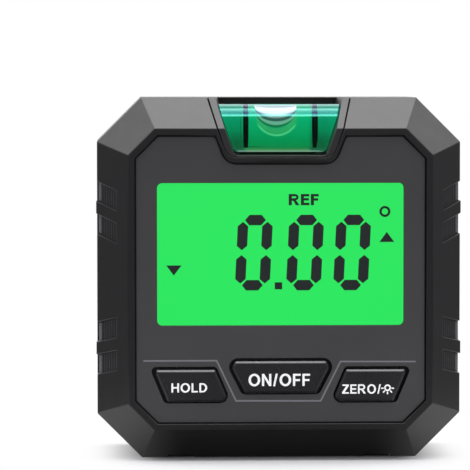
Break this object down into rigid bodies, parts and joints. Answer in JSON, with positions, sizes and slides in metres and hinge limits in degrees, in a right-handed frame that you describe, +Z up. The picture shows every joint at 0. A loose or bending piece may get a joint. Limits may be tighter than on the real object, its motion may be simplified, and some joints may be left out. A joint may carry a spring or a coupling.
{
  "type": "digital spirit level",
  "caption": "Small box level with sloping octagonal face, backlit display, press keys, bubble vial in its top edge and a grooved magnetic base.",
  "frame": {"origin": "middle of the base, where the level stands", "axes": "+X right across the face, +Z up from the base, the face looks along -Y"},
  "size_m": [0.0608, 0.03, 0.06],
  "materials": {
    "housing_plastic": "fine matte texture",
    "panel_plastic": "smooth matte",
    "holder_plastic": "satin black",
    "key_plastic": "fine-grained matte",
    "inner_plastic": "plain moulded",
    "clear_window": "clear and polished",
    "display": "green backlit display",
    "light_guide": "milky green",
    "contact_rubber": "matte",
    "led": "clear epoxy",
    "circuit_board": "solder mask",
    "chip_plastic": "moulded epoxy",
    "steel": "plated",
    "vial_acrylic": "polished clear acrylic",
    "vial_liquid": "clear green liquid",
    "ring_print": "printed black",
    "magnet": "nickel plated",
    "cell_jacket": "plain printed jacket",
    "contact_metal": "nickel-plated sheet"
  },
  "bodies": {
    "housing": {"front_housing": "housing_plastic", "rear_housing": "housing_plastic", "front_panel": "panel_plastic", "window_lens": "clear_window", "lcd_glass": "display", "light_guide": "light_guide", "lcd_frame": "inner_plastic", "lcd_connector": "contact_rubber", "backlight_leds": "led", "main_board": "circuit_board", "board_screws": "steel", "controller_chip": "chip_plastic", "tilt_sensor": "chip_plastic", "hold_switch": "chip_plastic", "on_off_switch": "chip_plastic", "zero_switch": "chip_plastic", "vial_holder": "holder_plastic", "vial_block": "vial_acrylic", "vial_liquid": "vial_liquid", "vial_rings": "ring_print", "vial_plug": "vial_acrylic", "base_magnets": "magnet", "battery_upper": "cell_jacket", "battery_lower": "cell_jacket", "bridge_contact": "contact_metal", "plus_contact": "contact_metal", "minus_contact": "contact_metal", "case_screws": "steel"},
    "hold_key": {"hold_button": "key_plastic", "hold_plunger": "inner_plastic"},
    "on_off_key": {"on_off_button": "key_plastic", "on_off_plunger": "inner_plastic"},
    "zero_key": {"zero_button": "key_plastic", "zero_plunger": "inner_plastic"},
    "battery_lid": {"battery_cover": "housing_plastic"}
  },
  "joints": [
    {"name": "hold_press", "type": "slide", "parent": "housing", "child": "hold_key", "axis": [0, 1, 0], "range_m": [0, 0.0003], "stiffness_N_per_m": 1500, "springref_m": -0.0003},
    {"name": "on_off_press", "type": "slide", "parent": "housing", "child": "on_off_key", "axis": [0, 1, 0], "range_m": [0, 0.0003], "stiffness_N_per_m": 1500, "springref_m": -0.0003},
    {"name": "zero_press", "type": "slide", "parent": "housing", "child": "zero_key", "axis": [0, 1, 0], "range_m": [0, 0.0003], "stiffness_N_per_m": 1500, "springref_m": -0.0003},
    {"name": "battery_lid_tilt", "type": "hinge", "parent": "housing", "child": "battery_lid", "pos_m": [0, 0.015, 0.0167], "axis": [-1, 0, 0], "range_deg": [0, 60]}
  ]
}
